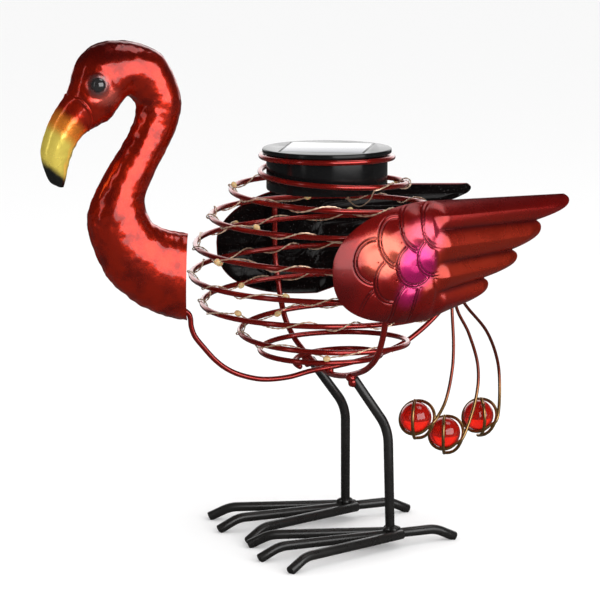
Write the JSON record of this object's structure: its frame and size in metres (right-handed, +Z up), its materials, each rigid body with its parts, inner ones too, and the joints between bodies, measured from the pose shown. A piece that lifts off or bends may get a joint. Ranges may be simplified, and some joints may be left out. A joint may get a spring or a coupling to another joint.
{
  "type": "solar spiral garden light",
  "caption": "Enamelled wading-bird garden light: a spiral wire body holds a drop-in solar lid and a string of tiny lamps, with a pressed steel neck and wings",
  "frame": {"origin": "on the ground, under the middle of the whole object's box", "axes": "+Z up, -X the way the bird faces, -Y its left side"},
  "size_m": [0.3348, 0.2048, 0.3342],
  "materials": {
    "neck_paint": "gloss candy red over hammered steel",
    "eye_gloss": "high gloss black",
    "coil_enamel": "gloss copper-red enamel",
    "wing_paint": "gloss candy red, coral and magenta",
    "lid_plastic": "gloss black",
    "panel_glass": "clear coat over dark cells",
    "string_metal": "fine lacquered wire",
    "leg_paint": "satin black",
    "tail_wire": "copper red turning to brass",
    "marble_glass": "polished ruby glass"
  },
  "bodies": {
    "root": {"head_and_neck": "neck_paint", "left_eye": "eye_gloss", "right_eye": "eye_gloss", "coil_body": "coil_enamel", "keel_wire": "coil_enamel", "wing_hoop": "coil_enamel", "left_wing": "wing_paint", "right_wing": "wing_paint", "solar_lid": "lid_plastic", "solar_panel": "panel_glass", "light_string": "string_metal", "left_leg": "leg_paint", "left_middle_toe": "leg_paint", "left_inner_toe": "leg_paint", "left_outer_toe": "leg_paint", "left_heel_toe": "leg_paint", "right_leg": "leg_paint", "right_middle_toe": "leg_paint", "right_inner_toe": "leg_paint", "right_outer_toe": "leg_paint", "right_heel_toe": "leg_paint", "tail_wire_1": "tail_wire", "tail_wire_2": "tail_wire", "tail_wire_3": "tail_wire", "tail_marble_1": "marble_glass", "tail_marble_2": "marble_glass", "tail_marble_3": "marble_glass"}
  },
  "joints": []
}
